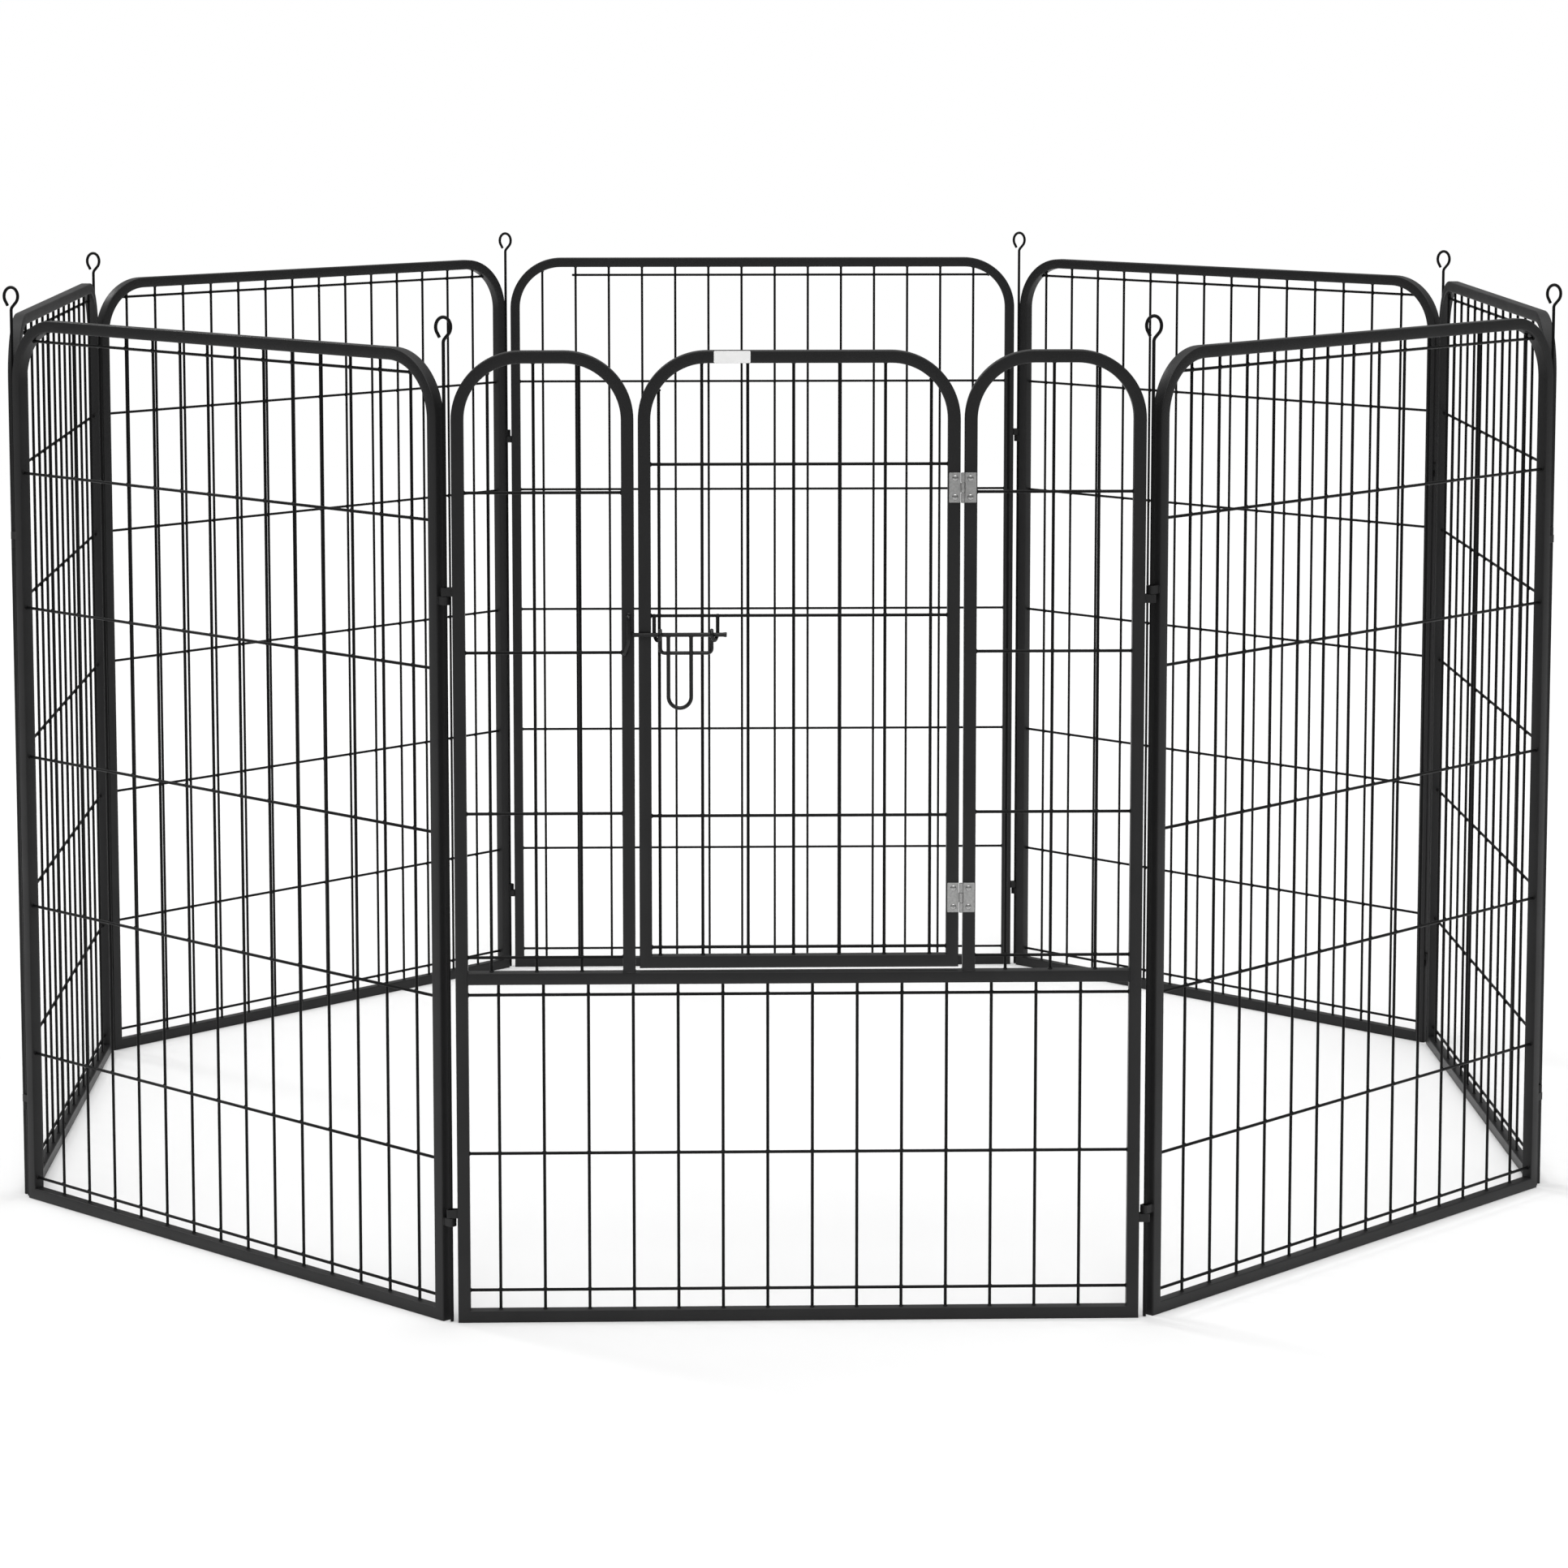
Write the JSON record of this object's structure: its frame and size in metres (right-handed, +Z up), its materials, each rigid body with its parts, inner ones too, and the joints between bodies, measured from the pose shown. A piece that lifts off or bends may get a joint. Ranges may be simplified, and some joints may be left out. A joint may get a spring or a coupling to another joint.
{
  "type": "pet playpen",
  "caption": "Octagonal folding pet playpen of square-tube panels with wire grids, pull-out corner rods and a latched door in one panel.",
  "frame": {"origin": "centre of the octagon on the floor", "axes": "+Z up, the door panel's outer face looks towards -Y, +X to the right of someone facing the door"},
  "size_m": [1.7404, 1.7442, 1.0354],
  "materials": {
    "frame_powder_coat": "black powder coat, fine satin texture",
    "wire_powder_coat": "black powder coat on drawn wire",
    "rod_powder_coat": "black powder coat on straight rod",
    "latch_powder_coat": "black powder coat, rubbed smooth on the bolt",
    "zinc_plate": "grey zinc plate",
    "label_film": "blank white adhesive film"
  },
  "bodies": {
    "door_panel": {"door_panel_frame": "frame_powder_coat", "door_panel_left_grid": "wire_powder_coat", "door_panel_right_grid": "wire_powder_coat", "door_panel_lower_grid": "wire_powder_coat", "latch_keeper": "latch_powder_coat", "upper_hinge_pin": "zinc_plate", "upper_hinge_fixed_leaf": "zinc_plate", "upper_hinge_fixed_rivet_top": "zinc_plate", "upper_hinge_fixed_rivet_bottom": "zinc_plate", "lower_hinge_pin": "zinc_plate", "lower_hinge_fixed_leaf": "zinc_plate", "lower_hinge_fixed_rivet_top": "zinc_plate", "lower_hinge_fixed_rivet_bottom": "zinc_plate"},
    "door_leaf": {"door_leaf_frame": "frame_powder_coat", "door_leaf_grid": "wire_powder_coat", "latch_guide": "latch_powder_coat", "blank_label": "label_film", "upper_hinge_door_leaf": "zinc_plate", "upper_hinge_door_rivet_top": "zinc_plate", "upper_hinge_door_rivet_bottom": "zinc_plate", "lower_hinge_door_leaf": "zinc_plate", "lower_hinge_door_rivet_top": "zinc_plate", "lower_hinge_door_rivet_bottom": "zinc_plate"},
    "latch_bolt": {"latch_bolt": "latch_powder_coat"},
    "latch_handle": {"latch_handle": "latch_powder_coat"},
    "right_front_panel": {"right_front_panel_frame": "frame_powder_coat", "right_front_panel_grid": "wire_powder_coat"},
    "right_panel": {"right_panel_frame": "frame_powder_coat", "right_panel_grid": "wire_powder_coat"},
    "right_back_panel": {"right_back_panel_frame": "frame_powder_coat", "right_back_panel_grid": "wire_powder_coat"},
    "back_panel": {"back_panel_frame": "frame_powder_coat", "back_panel_grid": "wire_powder_coat"},
    "left_back_panel": {"left_back_panel_frame": "frame_powder_coat", "left_back_panel_grid": "wire_powder_coat"},
    "left_panel": {"left_panel_frame": "frame_powder_coat", "left_panel_grid": "wire_powder_coat"},
    "left_front_panel": {"left_front_panel_frame": "frame_powder_coat", "left_front_panel_grid": "wire_powder_coat"},
    "corner_rod_1": {"corner_rod_1": "rod_powder_coat"},
    "corner_rod_2": {"corner_rod_2": "rod_powder_coat"},
    "corner_rod_3": {"corner_rod_3": "rod_powder_coat"},
    "corner_rod_4": {"corner_rod_4": "rod_powder_coat"},
    "corner_rod_5": {"corner_rod_5": "rod_powder_coat"},
    "corner_rod_6": {"corner_rod_6": "rod_powder_coat"},
    "corner_rod_7": {"corner_rod_7": "rod_powder_coat"},
    "corner_rod_8": {"corner_rod_8": "rod_powder_coat"}
  },
  "joints": [
    {"name": "fold_front_right", "type": "hinge", "parent": "door_panel", "child": "right_front_panel", "pos_m": [0.3567, -0.86115, 0.5], "axis": [0, 0, 1], "range_deg": [-45, 45]},
    {"name": "fold_right_1", "type": "hinge", "parent": "right_front_panel", "child": "right_panel", "pos_m": [0.86115, -0.3567, 0.5], "axis": [0, 0, 1], "range_deg": [-45, 45]},
    {"name": "fold_right_2", "type": "hinge", "parent": "right_panel", "child": "right_back_panel", "pos_m": [0.86115, 0.3567, 0.5], "axis": [0, 0, 1], "range_deg": [-45, 45]},
    {"name": "fold_back_right", "type": "hinge", "parent": "right_back_panel", "child": "back_panel", "pos_m": [0.3567, 0.86115, 0.5], "axis": [0, 0, 1], "range_deg": [-45, 45]},
    {"name": "fold_front_left", "type": "hinge", "parent": "door_panel", "child": "left_front_panel", "pos_m": [-0.3567, -0.86115, 0.5], "axis": [0, 0, 1], "range_deg": [-45, 45]},
    {"name": "fold_left_1", "type": "hinge", "parent": "left_front_panel", "child": "left_panel", "pos_m": [-0.86115, -0.3567, 0.5], "axis": [0, 0, 1], "range_deg": [-45, 45]},
    {"name": "fold_back_left", "type": "hinge", "parent": "left_panel", "child": "left_back_panel", "pos_m": [-0.86115, 0.3567, 0.5], "axis": [0, 0, 1], "range_deg": [-45, 45]},
    {"name": "door_swing", "type": "hinge", "parent": "door_panel", "child": "door_leaf", "pos_m": [0.16455, -0.8699, 0.65], "axis": [0, 0, 1], "range_deg": [0, 170]},
    {"name": "latch_slide", "type": "slide", "parent": "door_leaf", "child": "latch_bolt", "axis": [1, 0, 0], "range_m": [-0.004, 0.016]},
    {"name": "latch_turn", "type": "hinge", "parent": "latch_bolt", "child": "latch_handle", "pos_m": [-0.12085, -0.8703, 0.7132], "axis": [-1, 0, 0], "range_deg": [0, 160]},
    {"name": "corner_rod_1_lift", "type": "slide", "parent": "door_panel", "child": "corner_rod_1", "axis": [0, 0, 1], "range_m": [0, 0.8]},
    {"name": "corner_rod_2_lift", "type": "slide", "parent": "right_front_panel", "child": "corner_rod_2", "axis": [0, 0, 1], "range_m": [0, 0.8]},
    {"name": "corner_rod_3_lift", "type": "slide", "parent": "right_panel", "child": "corner_rod_3", "axis": [0, 0, 1], "range_m": [0, 0.8]},
    {"name": "corner_rod_4_lift", "type": "slide", "parent": "right_back_panel", "child": "corner_rod_4", "axis": [0, 0, 1], "range_m": [0, 0.8]},
    {"name": "corner_rod_5_lift", "type": "slide", "parent": "back_panel", "child": "corner_rod_5", "axis": [0, 0, 1], "range_m": [0, 0.8]},
    {"name": "corner_rod_6_lift", "type": "slide", "parent": "left_panel", "child": "corner_rod_6", "axis": [0, 0, 1], "range_m": [0, 0.8]},
    {"name": "corner_rod_7_lift", "type": "slide", "parent": "left_front_panel", "child": "corner_rod_7", "axis": [0, 0, 1], "range_m": [0, 0.8]},
    {"name": "corner_rod_8_lift", "type": "slide", "parent": "door_panel", "child": "corner_rod_8", "axis": [0, 0, 1], "range_m": [0, 0.8]}
  ],
  "couplings": [
    {"joint": "fold_right_1", "follows": "fold_front_right", "ratio": -1},
    {"joint": "fold_right_2", "follows": "fold_front_right", "ratio": 1},
    {"joint": "fold_back_right", "follows": "fold_front_right", "ratio": -1},
    {"joint": "fold_front_left", "follows": "fold_front_right", "ratio": 1},
    {"joint": "fold_left_1", "follows": "fold_front_right", "ratio": -1},
    {"joint": "fold_back_left", "follows": "fold_front_right", "ratio": 1}
  ]
}
